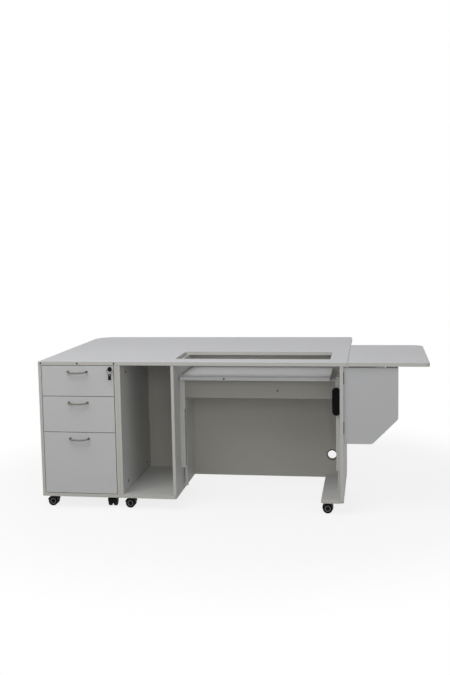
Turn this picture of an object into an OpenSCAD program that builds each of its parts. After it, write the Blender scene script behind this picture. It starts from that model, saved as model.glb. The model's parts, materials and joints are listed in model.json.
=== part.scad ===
/* [Work surface] */
// Height of the work surface above the floor
table_h = 780; // [760:5:840]
// Thickness of the tops, the leaves and the lift platform
top_t = 18; // [16:1:25]
// Depth of the fixed tops, front to back
table_d = 731; // [700:1:800]
// Width of the main top, from the pedestal to the side leaf
main_w = 1178; // [1150:1:1300]
// Width of the side leaf and of the rear leaf
leaf_w = 400; // [320:5:450]
// Gap at the seams of the leaves
seam = 1; // [0.5:0.5:2]
// Radius of the rear leaf's left corner
rear_left_r = 105; // [20:5:150]
// Radius of the side leaf's rear corner
side_rear_r = 60; // [20:5:120]
// Radius of the outer front corner and the rear leaf's right corner
small_r = 22; // [4:1:30]
// Diameter of the dowel holes in the pedestal top's front edge
dowel_d = 8; // [5:0.5:10]

/* [Machine cut-out] */
// Width of the cut-out
cutout_w = 808; // [700:1:820]
// Depth of the cut-out
cutout_d = 288; // [240:1:320]
// Distance from the front edge to the cut-out
cutout_front = 130; // [100:1:160]
// Distance from the right end of the main top to the cut-out
cutout_right = 81; // [70:1:110]
// Radius of the cut-out's corners
cutout_r = 8; // [3:1:20]

/* [Carcass] */
// Thickness of the carcass boards
board_t = 16; // [15:1:19]
// Thickness of the right side panel and of the boards on castors
heavy_t = 18; // [16:1:22]
// Depth of the carcass, front to back
carcass_d = 620; // [600:1:660]
// Height of the carcass underside above the floor
ground_gap = 62; // [60:1:70]
// Setback of the carcass front behind the table edge
setback = 2; // [1:1:8]
// Overhang of the main top past the right side panel
side_overhang = 20; // [20:1:40]
// Distance from the table front to the knee space's back panel
knee_d = 515; // [500:1:540]
// Width of the foot board inside the right side panel
foot_w = 96; // [88:1:120]
// Radius of the outline corners near the floor
foot_r = 12; // [4:1:20]
// Radius of the right side panel's lower rear corner
heel_r = 60; // [20:5:90]

/* [Pedestal and slot] */
// Width of the drawer pedestal
pedestal_w = 424; // [400:1:460]
// Clear width of the storage slot
slot_w = 266; // [240:1:280]
// Height of the top drawer front
top_front_h = 160; // [150:1:180]
// Height of the middle drawer front
middle_front_h = 188; // [160:1:210]
// Gap round each drawer front
front_gap = 2.5; // [1.5:0.5:4]
// Thickness of the drawer fronts
front_t = 16; // [15:1:19]
// Thickness of the drawer box walls
box_t = 12; // [10:1:15]
// Thickness of the drawer bottoms
bottom_t = 5; // [3:1:8]
// Length of the drawer boxes and their rails
rail_l = 500; // [450:10:550]
// Travel of a drawer
drawer_travel = 450; // [300:10:450]

/* [Drawer handles and lock] */
// Distance between the legs of a handle
handle_span = 100; // [80:2:128]
// Reach of a handle in front of its drawer front
handle_reach = 30; // [26:1:40]
// Diameter of a handle's bar
handle_d = 8; // [6:0.5:10]
// Slope of a handle's bowed bar at its ends, in degrees
handle_bow = 20; // [14:1:24]
// Droop of a handle's bar from its ends, in degrees below level
handle_droop = 32; // [0:1:40]
// Depth of a handle below the upper edge of its front
handle_drop = 32; // [28:1:36]
// Distance of the lock from the drawer front's right edge
lock_inset = 19; // [17:1:26]
// Distance of the lock from the drawer front's upper edge
lock_drop = 18; // [17:1:22]
// Diameter of the lock's front collar
lock_d = 24; // [22:1:28]

/* [Lift] */
// Gap between the lift platform and the slot's side
platform_left_gap = 7; // [5:1:12]
// Room beside the lift platform's right end, for the lever
platform_right_gap = 52; // [46:1:64]
// Depth of the lift platform
platform_d = 385; // [340:1:390]
// Distance from the table front to the platform
platform_front = 112; // [106:1:118]
// Distance from the work surface down to the platform
platform_drop = 93; // [90:1:100]
// Travel of the platform above this height
lift_up = 68; // [40:1:68]
// Travel of the platform below this height
lift_down = 220; // [150:5:230]
// Height of the rail under the platform
rail_h = 98; // [80:1:110]
// Width of a lift track, across the cabinet
track_w = 24; // [22:1:28]
// Depth of a lift track, front to back
track_d = 60; // [54:1:70]
// Height of the lower end of the tracks
track_foot = 195; // [170:5:230]
// Length of a carriage along its track
carriage_h = 160; // [130:5:180]
// Length of the release lever
lever_h = 145; // [120:1:160]
// Width of the release lever
lever_w = 42; // [36:1:42]

/* [Leaf brackets] */
// Length of a swing bracket
bracket_l = 266; // [220:1:290]
// Height of a swing bracket
bracket_h = 386; // [340:2:420]
// Width and height of the bracket's cut corner
bracket_cut = 128; // [80:1:170]
// Radius at both ends of the cut
bracket_cut_r = 26; // [5:1:40]
// Gap between a bracket and the leaf that it carries
bracket_drop = 7.5; // [7:0.5:12]
// Height of a bracket hinge
hinge_h = 58; // [50:1:70]

/* [Cable grommet] */
// Radius of the grommet's flange
grommet_r = 30; // [28:1:36]
// Radius of the hole through the grommet
grommet_bore_r = 24; // [18:1:26]

/* [Castors] */
// Diameter of the castor wheels
wheel_d = 50; // [44:1:50]
// Width of one castor wheel
wheel_w = 17; // [14:1:18]
// Distance from a castor's swivel to its axle
trail = 18; // [14:1:20]
// Distance of the castors from the front and back of the carcass
castor_inset = 53; // [50:1:70]
// Distance of the pedestal's castors from its sides
castor_side = 60; // [50:1:70]

/* [Hidden] */
$fn = 64;

// Colours
white = [0.86, 0.86, 0.85];
cool_white = [0.84, 0.85, 0.87];
edge_white = [0.80, 0.79, 0.75];
nickel = [0.66, 0.64, 0.60];
zinc = [0.74, 0.75, 0.77];
black = [0.08, 0.08, 0.09];

// Overall sizes, and the shift that puts the origin on the floor under the middle
overall_w = pedestal_w + main_w + seam + leaf_w;
overall_d = table_d + seam + leaf_w;
nose = handle_reach - setback;
origin_shift = [-overall_w / 2, -(overall_d - nose) / 2, 0];

// Levels
carcass_top = table_h - top_t;
carcass_h = carcass_top - ground_gap;
carcass_back = setback + carcass_d;
floor_top = ground_gap + heavy_t;

// Uprights, from left to right
slot_x0 = pedestal_w + board_t;
slot_x1 = slot_x0 + slot_w;
knee_x0 = slot_x1 + board_t;
main_x1 = pedestal_w + main_w;
side_x1 = main_x1 - side_overhang;
knee_x1 = side_x1 - heavy_t;
foot_x0 = knee_x1 - foot_w;
cutout_x1 = main_x1 - cutout_right;
cutout_x0 = cutout_x1 - cutout_w;

// Clearances
run_fit = 0.08;
slide_fit = 0.4;
hinge_fit = 0.4;

// A bracket's hinge axis stands this far off the face behind it
bracket_off = 3.2;

module place() {
    translate(origin_shift) children();
}

module board(at, size) {
    translate(at) cube(size);
}

// Waste to take off one corner of a flat outline so that it is rounded
module corner_waste(at, turn, r) {
    translate(at) rotate(turn) difference() {
        translate([-1, -1]) square(r + 1);
        translate([r, r]) circle(r);
    }
}

// Flat outline with its own radius at the front left, front right, back right and back left
module round_board(w, d, radii) {
    difference() {
        square([w, d]);
        if (radii[0] > 0) corner_waste([0, 0], 0, radii[0]);
        if (radii[1] > 0) corner_waste([w, 0], 90, radii[1]);
        if (radii[2] > 0) corner_waste([w, d], 180, radii[2]);
        if (radii[3] > 0) corner_waste([0, d], 270, radii[3]);
    }
}

module top_board(at, w, d, radii) {
    translate([at[0], at[1], carcass_top]) linear_extrude(top_t) round_board(w, d, radii);
}

// Dowel holes in the front edge of the pedestal's top
dowel_l = 10;
dowel_z = table_h - top_t / 2;
dowel_inset = 15;
dowel_xs = [dowel_inset, pedestal_w / 2, pedestal_w - dowel_inset];

module pedestal_top() {
    color(cool_white) place() difference() {
        top_board([0, 0], pedestal_w, table_d, [2, 0, 0, 0]);
        for (x = dowel_xs) {
            translate([x, dowel_l, dowel_z]) rotate([90, 0, 0]) cylinder(d = dowel_d, h = dowel_l + 1);
        }
    }
}

module main_top() {
    color(cool_white) place() difference() {
        top_board([pedestal_w, 0], main_w, table_d, [0, 0, 0, 0]);
        translate([cutout_x0, cutout_front, carcass_top - 1]) linear_extrude(top_t + 2)
            round_board(cutout_w, cutout_d, [cutout_r, cutout_r, cutout_r, cutout_r]);
    }
}

module side_leaf() {
    color(cool_white) place()
        top_board([main_x1 + seam, 0], leaf_w, table_d, [0, small_r, side_rear_r, 0]);
}

module rear_leaf() {
    color(cool_white) place()
        top_board([0, table_d + seam], main_x1, leaf_w, [0, 0, small_r, rear_left_r]);
}

// Drop-leaf hinge under a seam along x: two plates, their knuckles and a pin
leaf_hinge_l = 70;
leaf_plate_w = 38;
leaf_plate_t = 2;
leaf_knuckle_r = 3.4;

module leaf_hinge(fixed_w) {
    third = leaf_hinge_l / 3;
    knuckle_z = carcass_top - leaf_knuckle_r;
    pin_r = leaf_knuckle_r / 2;
    for (side = [-1, 1]) {
        difference() {
            union() {
                translate([0, side > 0 ? 0 : -fixed_w, carcass_top - leaf_plate_t])
                    cube([leaf_hinge_l, side > 0 ? leaf_plate_w : fixed_w, leaf_plate_t]);
                for (k = side > 0 ? [1] : [0, 2]) {
                    translate([k * third, 0, knuckle_z]) rotate([0, 90, 0])
                        cylinder(r = leaf_knuckle_r, h = third);
                }
            }
            for (k = side > 0 ? [0, 2] : [1]) {
                translate([k * third - slide_fit, 0, knuckle_z]) rotate([0, 90, 0])
                    cylinder(r = leaf_knuckle_r + slide_fit, h = third + 2 * slide_fit);
            }
            if (side > 0) {
                translate([-1, 0, knuckle_z]) rotate([0, 90, 0])
                    cylinder(r = pin_r + run_fit, h = leaf_hinge_l + 2);
            }
        }
    }
    translate([third - 1, 0, knuckle_z]) rotate([0, 90, 0]) cylinder(r = pin_r, h = third + 2);
}

// Pad under a leaf, on which an open bracket bears
pad_l = 46;
pad_w = 24;
pad_gap = 0.3;

module rest_pad(x, y, w, d) {
    translate([x - w / 2, y - d / 2, carcass_top - bracket_drop + pad_gap])
        cube([w, d, bracket_drop - pad_gap]);
}

side_hinge_ys = [table_d * 0.16, table_d * 0.84];
rear_hinge_xs = [pedestal_w * 0.3, pedestal_w + main_w * 0.2, pedestal_w + main_w * 0.55,
                 pedestal_w + main_w * 0.9];
side_axis = [side_x1 + bracket_off, 30];
rear_left_axis = [knee_x0 - hinge_fit, carcass_back + bracket_off];
rear_right_axis = [knee_x1 + hinge_fit, carcass_back + bracket_off];
side_pad_x = side_x1 + bracket_l * 0.68;
rear_pad_y = carcass_back + bracket_l * 0.75;

module leaf_fittings() {
    color(zinc) place() {
        for (y = side_hinge_ys) {
            translate([main_x1 + seam / 2, y + leaf_hinge_l / 2, 0]) rotate(-90)
                leaf_hinge(side_overhang - 2);
        }
        for (x = rear_hinge_xs) {
            translate([x - leaf_hinge_l / 2, table_d + seam / 2, 0]) leaf_hinge(leaf_plate_w);
        }
        rest_pad(side_pad_x, side_axis[1] - board_t / 2, pad_l, pad_w);
        rest_pad(rear_left_axis[0] - board_t / 2, rear_pad_y, pad_w, pad_l);
        rest_pad(rear_right_axis[0] + board_t / 2, rear_pad_y, pad_w, pad_l);
    }
}

// Pedestal boards
joiner_r = 3;
joiner_head_r = 7;
joiner_head_t = 1.6;
joiner_l = 27;
joiner_inset = 106;
joiner_rise = 47;
joiner_drop = 50;
joiner_ys = [setback + joiner_inset, carcass_back - joiner_inset];
joiner_zs = [floor_top + joiner_rise, carcass_top - joiner_drop];

// Children at each screw that joins the slot to the pedestal, +z into the pedestal
module at_screws() {
    for (y = joiner_ys, z = joiner_zs) translate([slot_x0, y, z]) rotate([0, -90, 0]) children();
}

module screw_holes() {
    at_screws() translate([0, 0, -1]) cylinder(r = joiner_r + run_fit, h = joiner_l + 2);
}

module pedestal_left_side() {
    color(white) place() board([0, setback, ground_gap], [board_t, carcass_d, carcass_h]);
}

module pedestal_right_side() {
    color(white) place() difference() {
        board([pedestal_w - board_t, setback, ground_gap], [board_t, carcass_d, carcass_h]);
        screw_holes();
    }
}

module pedestal_bottom() {
    color(white) place()
        board([board_t, setback, ground_gap],
              [pedestal_w - 2 * board_t, carcass_d - board_t, heavy_t]);
}

module pedestal_back() {
    color(white) place()
        board([board_t, carcass_back - board_t, ground_gap],
              [pedestal_w - 2 * board_t, board_t, carcass_h]);
}

// Slot boards: both sides stand on the floor board
module slot_left_side() {
    color(white) place() difference() {
        board([pedestal_w, setback, floor_top], [board_t, carcass_d, carcass_top - floor_top]);
        screw_holes();
    }
}

module slot_right_side() {
    color(white) place()
        board([slot_x1, setback, floor_top], [board_t, carcass_d, carcass_top - floor_top]);
}

module slot_floor() {
    color(white) place() translate([pedestal_w, setback, ground_gap]) linear_extrude(heavy_t)
        round_board(knee_x0 - pedestal_w, carcass_d, [0, foot_r, foot_r, 0]);
}

module slot_back() {
    color(white) place()
        board([slot_x0, carcass_back - board_t, floor_top],
              [slot_w, board_t, carcass_top - floor_top]);
}

module module_screws() {
    color(zinc) place() at_screws() {
        cylinder(r = joiner_r, h = joiner_l);
        translate([0, 0, -joiner_head_t]) cylinder(r = joiner_head_r, h = joiner_head_t);
    }
}

// Knee space
grommet_side = 61;
grommet_rise = 129;
grommet_x = knee_x1 - grommet_side;
grommet_z = ground_gap + grommet_rise;
grommet_flange_t = 3;
grommet_wall = 2;

module back_panel() {
    color(white) place() difference() {
        board([knee_x0, knee_d, ground_gap], [knee_x1 - knee_x0, board_t, carcass_h]);
        board([foot_x0, knee_d - 1, ground_gap - 1], [foot_w + 1, board_t + 2, heavy_t + 1]);
        translate([grommet_x, knee_d + board_t + 1, grommet_z]) rotate([90, 0, 0])
            cylinder(r = grommet_bore_r + grommet_wall, h = board_t + 2);
    }
}

module cable_grommet() {
    color(zinc) place() translate([grommet_x, knee_d, grommet_z]) rotate([90, 0, 0])
        rotate_extrude() translate([grommet_bore_r, 0]) union() {
            translate([0, -board_t]) square([grommet_wall, board_t + grommet_flange_t]);
            round_board(grommet_r - grommet_bore_r, grommet_flange_t,
                        [0, 0, grommet_flange_t - 0.5, 0]);
        }
}

module right_side() {
    color(white) place() translate([knee_x1, setback, ground_gap]) rotate([90, 0, 90])
        linear_extrude(heavy_t) round_board(carcass_d, carcass_h, [foot_r, heel_r, 0, 0]);
}

module foot_board() {
    color(white) place() translate([foot_x0, setback, ground_gap]) linear_extrude(heavy_t)
        round_board(foot_w, carcass_d, [foot_r, 0, 0, foot_r]);
}

// Drawers, from the top: fronts, boxes, handles and rails
inside_w = pedestal_w - 2 * board_t;
bottom_front_h = carcass_h - heavy_t - 4 * front_gap - top_front_h - middle_front_h;
front_hs = [top_front_h, middle_front_h, bottom_front_h];
front_zs = [carcass_top - front_gap - top_front_h,
            carcass_top - 2 * front_gap - top_front_h - middle_front_h,
            floor_top + front_gap];
rail_gap = 12.7;
box_w = inside_w - 2 * rail_gap;
box_x0 = board_t + rail_gap;
box_y0 = setback + front_t;
box_lift = 14.5;
box_cut = 55;
bottom_lift = 8;
rail_lift = 40;
screw_r = 2;

function box_z(i) = front_zs[i] + box_lift;
function box_h(i) = front_hs[i] - box_cut;
function handle_z(i) = front_zs[i] + front_hs[i] - handle_drop;

lock_x = pedestal_w - board_t - front_gap - lock_inset;
lock_z = front_zs[0] + front_hs[0] - lock_drop;
barrel_r = 8;

module handle_screw_holes(i) {
    for (side = [-1, 1]) {
        translate([pedestal_w / 2 + side * handle_span / 2, box_y0 + 1, handle_z(i)])
            rotate([90, 0, 0]) cylinder(r = screw_r + 0.2, h = front_t + 2);
    }
}

module drawer_front(i) {
    difference() {
        board([board_t + front_gap, setback, front_zs[i]],
              [inside_w - 2 * front_gap, front_t, front_hs[i]]);
        handle_screw_holes(i);
    }
}

module drawer_box(i) {
    difference() {
        board([box_x0, box_y0, box_z(i)], [box_w, rail_l, box_h(i)]);
        board([box_x0 + box_t, box_y0 + box_t, box_z(i) - 1],
              [box_w - 2 * box_t, rail_l - 2 * box_t, box_h(i) + 2]);
    }
    board([box_x0 + box_t, box_y0 + box_t, box_z(i) + bottom_lift],
          [box_w - 2 * box_t, rail_l - 2 * box_t, bottom_t]);
}

// Leg of a handle along +z: foot, shaft and domed end, and the screw from behind
bow_r = handle_span / 2 / sin(handle_bow);
leg_l = handle_reach - handle_d / 2 - bow_r * (1 - cos(handle_bow)) * cos(handle_droop);
leg_r = handle_d / 2 + 0.6;

module handle_leg() {
    rotate_extrude() {
        square([leg_r, leg_l]);
        polygon([[0, 0], [leg_r + 2, 0], [leg_r, 3], [0, 3]]);
        translate([0, leg_l]) intersection() {
            circle(leg_r);
            square(leg_r);
        }
    }
    translate([0, 0, -front_t]) cylinder(r = screw_r, h = front_t + 1);
    translate([0, 0, -front_t - 2]) cylinder(r = 2 * screw_r, h = 2);
}

module bow_handle(i) {
    translate([pedestal_w / 2, setback, handle_z(i)]) {
        for (side = [-1, 1]) {
            translate([side * handle_span / 2, 0, 0]) rotate([90, 0, 0]) handle_leg();
        }
        translate([0, -leg_l, 0]) rotate([handle_droop, 0, 0])
            translate([0, bow_r * cos(handle_bow), 0]) rotate(-90 - handle_bow)
            rotate_extrude(angle = 2 * handle_bow) translate([bow_r, 0]) circle(d = handle_d);
    }
}

// Rail members: a channel on the cabinet side, and a narrower one inside it on the drawer
rail_h_outer = 45;
rail_t = 1.3;
rail_lip = 4;
outer_depth = 9.5;

module channel(height, depth, lip) {
    difference() {
        square([depth, height], center = false);
        translate([rail_t, rail_t]) square([depth, height - 2 * rail_t]);
    }
    for (z = [0, height - lip]) translate([depth - rail_t, z]) square([rail_t, lip]);
}

module outer_rail() {
    rotate([90, 0, 0]) translate([0, -rail_h_outer / 2, -rail_l]) linear_extrude(rail_l)
        channel(rail_h_outer, outer_depth, rail_lip);
}

module inner_rail() {
    inner_h = rail_h_outer - 2 * rail_lip - 2 * slide_fit;
    tongue_h = rail_h_outer - 2 * rail_t - 2 * slide_fit;
    tongue_t = outer_depth - 2 * rail_t - 2 * slide_fit;
    rotate([90, 0, 0]) translate([0, 0, -rail_l]) linear_extrude(rail_l) {
        translate([rail_t + slide_fit, -tongue_h / 2]) square([rail_t, tongue_h]);
        for (z = [-tongue_h / 2, tongue_h / 2 - rail_t]) {
            translate([rail_t + slide_fit, z]) square([tongue_t, rail_t]);
        }
        for (z = [-inner_h / 2, inner_h / 2 - rail_t]) {
            translate([rail_t + slide_fit, z])
                square([rail_gap - rail_t - slide_fit, rail_t]);
        }
        translate([rail_gap - rail_t, -inner_h / 2]) square([rail_t, inner_h]);
    }
}

module both_sides() {
    translate([board_t, box_y0, 0]) children();
    translate([pedestal_w - board_t, box_y0, 0]) mirror([1, 0, 0]) children();
}

module cabinet_rails() {
    color(zinc) place() for (i = [0:2]) {
        both_sides() translate([0, 0, box_z(i) + rail_lift]) outer_rail();
    }
}

module drawer_rails(i) {
    color(zinc) place() both_sides() translate([0, 0, box_z(i) + rail_lift]) inner_rail();
}

module top_drawer_front() {
    color(white) place() difference() {
        drawer_front(0);
        translate([lock_x, box_y0 + 1, lock_z]) rotate([90, 0, 0])
            cylinder(r = barrel_r + 0.1, h = front_t + 2);
    }
}

module top_drawer_box() {
    color(white) place() drawer_box(0);
}

module top_drawer_handle() {
    color(nickel) place() bow_handle(0);
}

module top_drawer_rails() {
    drawer_rails(0);
}

module middle_drawer_front() {
    color(white) place() drawer_front(1);
}

module middle_drawer_box() {
    color(white) place() drawer_box(1);
}

module middle_drawer_handle() {
    color(nickel) place() bow_handle(1);
}

module middle_drawer_rails() {
    drawer_rails(1);
}

module bottom_drawer_front() {
    color(white) place() drawer_front(2);
}

module bottom_drawer_box() {
    color(white) place() drawer_box(2);
}

module bottom_drawer_handle() {
    color(nickel) place() bow_handle(2);
}

module bottom_drawer_rails() {
    drawer_rails(2);
}

// Cam lock: the barrel stays in the drawer front, the plug turns in it with the key and cam
plug_r = 5;
collar_t = 3;
barrel_l = 24;
cam_l = 17;
cam_t = 2;
neck_r = 3;
neck_l = 7;
bow_w = 20;
bow_l = 20;
bow_t = 3;

module lock_barrel() {
    color(black) place() translate([lock_x, setback, lock_z]) rotate([90, 0, 0]) difference() {
        union() {
            cylinder(d = lock_d, h = collar_t);
            translate([0, 0, -barrel_l]) cylinder(r = barrel_r, h = barrel_l);
        }
        translate([0, 0, -barrel_l - 1])
            cylinder(r = plug_r + run_fit, h = barrel_l + collar_t + 2);
    }
}

// Moulded head of a key, lying flat along +x from its neck, with a hole for a ring
module key_head(length, width, hole_r) {
    end_r = 0.36 * width;
    translate([0, 0, -bow_t / 2]) linear_extrude(bow_t) difference() {
        translate([0, -width / 2]) round_board(length, width, [end_r / 2, end_r, end_r, end_r / 2]);
        translate([length - hole_r - 2, 0]) circle(hole_r);
    }
}

module key() {
    plug_back = barrel_l + cam_t + 2;
    color(black) place() translate([lock_x, setback, lock_z]) {
        rotate([90, 0, 0]) {
            translate([0, 0, -plug_back]) cylinder(r = plug_r, h = plug_back + collar_t);
            translate([0, 0, collar_t]) cylinder(r = neck_r, h = neck_l + 1);
        }
        translate([-cam_l, barrel_l + slide_fit, -plug_r]) cube([cam_l + plug_r, cam_t, 2 * plug_r]);
        translate([0, -collar_t - neck_l, 0]) rotate(-90) key_head(bow_l, bow_w, 3);
    }
}

// Spare key on a wire ring that hangs round the neck of the key in the lock
ring_r = 15.5;
ring_wire = 1.4;
spare_turn = 50;
spare_head_l = 32;
spare_head_w = 15;
spare_hole_r = 3.5;
blade_l = 18;
blade_w = 7;
blade_t = 1.8;

module spare_key() {
    ring_z = neck_r + run_fit - ring_r + ring_wire / 2;
    hole_z = ring_z - ring_r + ring_wire / 2 - 0.4 - spare_hole_r;
    head_z = hole_z - spare_head_l + spare_hole_r + 2;
    color(black) place() translate([lock_x, setback - collar_t - neck_l + ring_wire, lock_z]) {
        translate([0, 0, ring_z]) rotate([90, 0, 0]) rotate_extrude()
            translate([ring_r, 0]) circle(d = ring_wire);
        translate([0, 0, head_z]) rotate(spare_turn) rotate([90, -90, 0]) {
            key_head(spare_head_l, spare_head_w, spare_hole_r);
            translate([-blade_l, -blade_w / 2, -blade_t / 2]) cube([blade_l + 1, blade_w, blade_t]);
        }
    }
}

// Lift: tracks on both sides of the knee space, carriages, gas springs, platform and rail
lift_mid = (knee_x0 + knee_x1) / 2;
track_inset = 34;
track_y = platform_front + track_inset;
track_t = 3;
track_lip = 10;
notch_gap = 1.2;
platform_x0 = knee_x0 + platform_left_gap;
platform_w = knee_x1 - platform_right_gap - platform_x0;
platform_z = table_h - platform_drop - top_t;
track_top = platform_z + top_t;
carriage_t = 3;
carriage_gap = 0.5;
carriage_z = platform_z - carriage_h;
carriage_face = track_w + carriage_gap + carriage_t;
carriage_wrap = carriage_gap + carriage_t;
shoe_h = track_top - track_t - slide_fit - lift_up - carriage_z;
flange_l = 60;
spring_gap = 1.5;
spring_r = 9;
lug_w = 18;
lug_l = spring_gap + 2 * spring_r;
lug_h = 18;
spring_y = track_y + track_d + carriage_wrap + spring_gap + spring_r;
spring_off = spring_r + 1;
spring_floor = 6;
spring_end = 5;
spring_reserve = 4;
rod_r = 4;
ledge_h = 16;
spring_z = floor_top + ledge_h;
lug_z = platform_z - carriage_t - lug_h;
spring_top = lug_z - lift_down - spring_end;
rod_z = spring_z + spring_floor + lift_down + spring_reserve;

// Children in the left track's frame: x from the panel's face, z from the floor
module lift_sides() {
    translate([knee_x0, track_y, 0]) children();
    translate([knee_x1, track_y, 0]) mirror([1, 0, 0]) children();
}

module lift_tracks() {
    color(zinc) place() lift_sides() {
        translate([0, 0, track_foot]) linear_extrude(track_top - track_foot) {
            difference() {
                square([track_w, track_d]);
                translate([track_t, track_t]) square([track_w, track_d - 2 * track_t]);
            }
            for (y = [0, track_d - track_lip]) {
                translate([track_w - track_t, y]) square([track_t, track_lip]);
            }
        }
        translate([0, 0, track_top - track_t]) cube([track_w, track_d, track_t]);
        translate([0, spring_y - track_y - spring_r, floor_top])
            cube([2 * spring_off, 2 * spring_r, ledge_h]);
        translate([spring_off, spring_y - track_y, spring_z]) difference() {
            cylinder(r = spring_r, h = spring_top - spring_z);
            translate([0, 0, spring_floor]) cylinder(r = rod_r + run_fit, h = spring_top);
        }
    }
}

module wrap_profile() {
    translate([carriage_gap * 2, -carriage_wrap]) difference() {
        square([carriage_face - carriage_gap * 2, track_d + 2 * carriage_wrap]);
        translate([-1, carriage_t])
            square([carriage_face - carriage_gap * 2 - carriage_t + 1, track_d + 2 * carriage_gap]);
    }
}

module shoe_profile() {
    translate([track_t + slide_fit, track_t + slide_fit])
        square([track_w - 2 * (track_t + slide_fit), track_d - 2 * (track_t + slide_fit)]);
    translate([track_w / 2, track_lip + slide_fit])
        square([track_w / 2 + 1, track_d - 2 * (track_lip + slide_fit)]);
}

module carriage() {
    translate([0, 0, carriage_z]) {
        linear_extrude(carriage_h) wrap_profile();
        linear_extrude(shoe_h) shoe_profile();
    }
    translate([carriage_face - carriage_t, -carriage_wrap, platform_z - carriage_t])
        cube([flange_l, track_d + 2 * carriage_wrap, carriage_t]);
    translate([spring_off - lug_w / 2, track_d + carriage_gap, lug_z])
        cube([lug_w, carriage_t + lug_l, lug_h]);
    translate([spring_off, spring_y - track_y, rod_z])
        cylinder(r = rod_r, h = platform_z - carriage_t - rod_z);
}

// Pivot of the release lever on the right carriage
lever_side_gap = 1;
lever_drop = 34;
lever_t = 10;
lever_x = knee_x1 - lever_w / 2 - lever_side_gap;
lever_z = platform_z - lever_drop - lever_w / 2;
ear_t = 3;
ear_gap = 11;
ear_h = 20;
ear_r = 6;
pivot_reach = 13;
pivot_y = track_y - pivot_reach;
lever_y = pivot_y - ear_r - slide_fit - lever_t;
pivot_drop = 57;
pivot_z = platform_z - pivot_drop;
pivot_r = 2.5;

module pivot_ears() {
    for (x = [lever_x - ear_gap / 2 - ear_t, lever_x + ear_gap / 2]) {
        translate([x, pivot_y, pivot_z]) rotate([90, 0, 90]) linear_extrude(ear_t) {
            circle(ear_r);
            translate([0, -ear_h / 2]) square([pivot_reach - carriage_gap - 1, ear_h]);
        }
    }
    translate([lever_x - ear_gap / 2 - ear_t, pivot_y, pivot_z]) rotate([0, 90, 0])
        cylinder(r = pivot_r, h = ear_gap + 2 * ear_t);
}

rail_inset = 4;
rail_y = track_y + rail_inset;
knob_off = 96;
knob_rise = 41;
knob_r = 5;
knob_t = 2;
rail_knob_x = lift_mid + knob_off;
rail_knob_z = platform_z - rail_h + knob_rise;

module lift_carriages() {
    color(zinc) place() {
        lift_sides() carriage();
        pivot_ears();
        translate([rail_knob_x, rail_y + board_t + knob_t, rail_knob_z]) rotate([90, 0, 0]) {
            cylinder(r = knob_r / 2, h = board_t + 2 * knob_t);
            for (z = [0, board_t + knob_t]) translate([0, 0, z]) cylinder(r = knob_r, h = knob_t);
        }
    }
}

module flange_room() {
    lift_sides() translate([0, -carriage_wrap, platform_z - carriage_t])
        cube([carriage_face + flange_l, track_d + 2 * carriage_wrap, carriage_t + 1]);
}

module lift_platform() {
    color(cool_white) place() difference() {
        translate([platform_x0, platform_front, platform_z]) linear_extrude(top_t)
            round_board(platform_w, platform_d, [4, 4, 4, 4]);
        translate([knee_x0, track_y - notch_gap, platform_z - 1])
            cube([track_w + notch_gap, track_d + 2 * notch_gap, top_t + 2]);
        translate([platform_x0 + platform_w * 0.3, platform_front + dowel_l, platform_z + top_t / 2])
            rotate([90, 0, 0]) cylinder(d = dowel_d, h = dowel_l + 1);
    }
}

module lift_rail() {
    color(white) place() difference() {
        board([knee_x0 + carriage_face, rail_y, platform_z - rail_h],
              [knee_x1 - knee_x0 - 2 * carriage_face, board_t, rail_h]);
        flange_room();
        translate([rail_knob_x, rail_y + board_t + 1, rail_knob_z]) rotate([90, 0, 0])
            cylinder(r = knob_r / 2 + 0.2, h = board_t + 2);
    }
}

module release_lever() {
    tongue_w = ear_gap - 2 * slide_fit;
    color(black) place() translate([lever_x, 0, 0]) difference() {
        union() {
            translate([0, lever_y + lever_t, lever_z]) rotate([90, 0, 0])
                linear_extrude(lever_t) {
                    circle(d = lever_w);
                    translate([-lever_w / 2, lever_w - lever_h]) square([lever_w, lever_h - lever_w]);
                    translate([0, lever_w - lever_h]) circle(d = lever_w);
                }
            translate([-tongue_w / 2, lever_y + lever_t / 2, pivot_z - ear_r])
                cube([tongue_w, pivot_y - lever_y - lever_t / 2, 2 * ear_r]);
            translate([-tongue_w / 2, pivot_y, pivot_z]) rotate([0, 90, 0])
                cylinder(r = ear_r, h = tongue_w);
        }
        translate([-tongue_w, pivot_y, pivot_z]) rotate([0, 90, 0])
            cylinder(r = pivot_r + run_fit, h = 2 * tongue_w);
    }
}

// Swing brackets, each in its own frame: hinge axis at the origin, board along +x
knuckle_r = 3;
pin_r = 1.5;
leaf_t = 1.2;
plate_l = 30;
hinge_drop = 57;
hinge_rise = 77;
bracket_top = carcass_top - bracket_drop;
hinge_zs = [bracket_top - hinge_drop, bracket_top - bracket_h + hinge_rise];
third_h = hinge_h / 3;
notch_r = knuckle_r + 0.5;

module bracket_outline() {
    tangent = bracket_cut_r * tan(22.5);
    foot_l = bracket_l - bracket_cut - tangent;
    heel_h = bracket_cut + tangent;
    hull() {
        square([foot_l, bracket_h]);
        translate([0, heel_h]) square([bracket_l, bracket_h - heel_h]);
        translate([foot_l, bracket_cut_r]) circle(bracket_cut_r);
        translate([bracket_l - bracket_cut_r, heel_h]) circle(bracket_cut_r);
    }
}

module at_hinges() {
    for (z = hinge_zs) translate([0, 0, z - hinge_h / 2]) children();
}

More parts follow.
